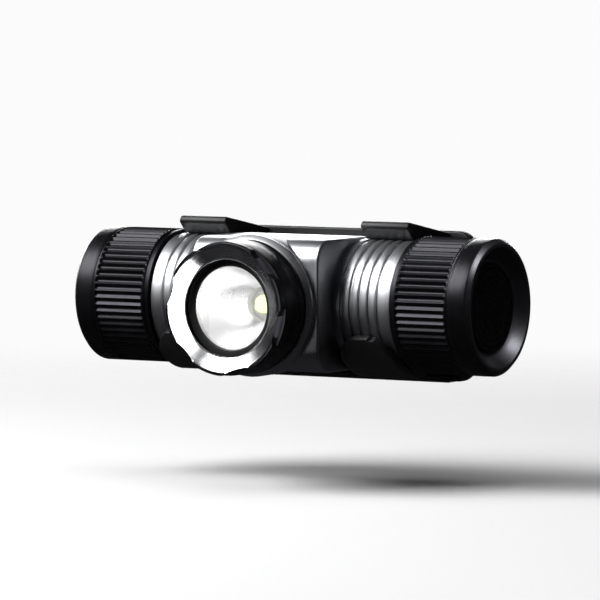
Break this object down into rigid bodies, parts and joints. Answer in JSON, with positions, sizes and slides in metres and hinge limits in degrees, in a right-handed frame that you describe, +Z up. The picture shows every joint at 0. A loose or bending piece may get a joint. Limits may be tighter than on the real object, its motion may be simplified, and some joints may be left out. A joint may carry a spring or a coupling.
{
  "type": "helmet flashlight",
  "caption": "Right-angle helmet flashlight: battery tube with knurled end caps, forward lamp head and tail button, tilting in a snap-in helmet bracket.",
  "frame": {"origin": "middle of the bracket pad's rear face, the face that lies on the helmet, level with the battery tube's axis", "axes": "+Z up, -Y along the beam, away from the helmet, +X along the battery tube to the switch cap, at the wearer's left"},
  "size_m": [0.1, 0.0528, 0.036],
  "materials": {
    "black_nylon": "moulded glass-filled nylon, fine matt grain",
    "pad_rubber": "closed-cell rubber sheet",
    "grey_anodised": "turned and milled, satin grey anodised",
    "black_anodised": "knurled, black hard anodised",
    "bright_cut_anodised": "black hard anodised, its front funnel cut bright afterwards",
    "seal_rubber": "nitrile seals",
    "boot_rubber": "moulded silicone boot",
    "front_glass": "toughened glass, anti-reflection coated",
    "mirror_coat": "vacuum-metallised orange-peel reflector",
    "white_plastic": "moulded white plastic",
    "led_ceramic": "white alumina",
    "led_phosphor": "yellow phosphor layer",
    "led_silicone": "clear silicone dome",
    "copper": "bare copper",
    "wire_insulation": "silicone wire insulation",
    "circuit_board": "solder-masked glass epoxy",
    "black_component": "moulded black epoxy",
    "heat_sink_metal": "turned bare aluminium",
    "cell_metal": "nickel-plated can",
    "cell_sleeve": "heat-shrink sleeve",
    "gold_contact": "gold-plated brass"
  },
  "bodies": {
    "helmet_bracket": {"bracket": "black_nylon", "mount_pad": "pad_rubber"},
    "lamp": {"body": "grey_anodised", "switch_cap_oring": "seal_rubber", "contact_cap_oring": "seal_rubber", "bezel": "bright_cut_anodised", "bezel_oring": "seal_rubber", "lens_gasket": "seal_rubber", "lens": "front_glass", "reflector": "mirror_coat", "led_spacer": "white_plastic", "led_base": "led_ceramic", "led_phosphor": "led_phosphor", "led_dome": "led_silicone", "led_board": "copper", "led_leads": "wire_insulation", "heat_sink": "heat_sink_metal", "driver_board": "circuit_board", "driver_parts": "black_component", "positive_strip": "copper", "positive_lead": "wire_insulation", "cell_can": "cell_metal", "cell_wrap": "cell_sleeve", "cell_button": "cell_metal", "cell_insulator": "white_plastic"},
    "switch_contact": {"switch_spring": "gold_contact"},
    "switch_end": {"switch_cap": "black_anodised", "switch_boot": "boot_rubber", "switch_carrier": "white_plastic", "click_switch": "black_component", "switch_board": "circuit_board", "switch_ring": "gold_contact"},
    "switch_button": {"boot_dome": "boot_rubber", "click_plunger": "wire_insulation"},
    "contact_feed": {"contact_spring": "gold_contact"},
    "contact_end": {"contact_cap": "black_anodised", "contact_holder": "white_plastic", "contact_board": "circuit_board", "contact_ring": "gold_contact"}
  },
  "joints": [
    {"name": "lamp_tilt", "type": "hinge", "parent": "helmet_bracket", "child": "lamp", "pos_m": [0, -0.01928, 0], "axis": [1, 0, 0], "range_deg": [-60, 60]},
    {"name": "switch_cap_travel", "type": "slide", "parent": "lamp", "child": "switch_contact", "axis": [1, 0, 0], "range_m": [0, 0.00875]},
    {"name": "switch_cap_turn", "type": "hinge", "parent": "switch_contact", "child": "switch_end", "pos_m": [0, -0.01928, 0], "axis": [1, 0, 0], "range_deg": [0, 2520]},
    {"name": "switch_press", "type": "slide", "parent": "switch_end", "child": "switch_button", "axis": [-1, 0, 0], "range_m": [0, 0.0008], "stiffness_N_per_m": 1500, "springref_m": -0.001},
    {"name": "contact_cap_travel", "type": "slide", "parent": "lamp", "child": "contact_feed", "axis": [-1, 0, 0], "range_m": [0, 0.00875]},
    {"name": "contact_cap_turn", "type": "hinge", "parent": "contact_feed", "child": "contact_end", "pos_m": [0, -0.01928, 0], "axis": [-1, 0, 0], "range_deg": [0, 2520]}
  ],
  "couplings": [
    {"joint": "switch_cap_turn", "follows": "switch_cap_travel", "rad_per_m": 5026.5},
    {"joint": "contact_cap_turn", "follows": "contact_cap_travel", "rad_per_m": 5026.5}
  ]
}
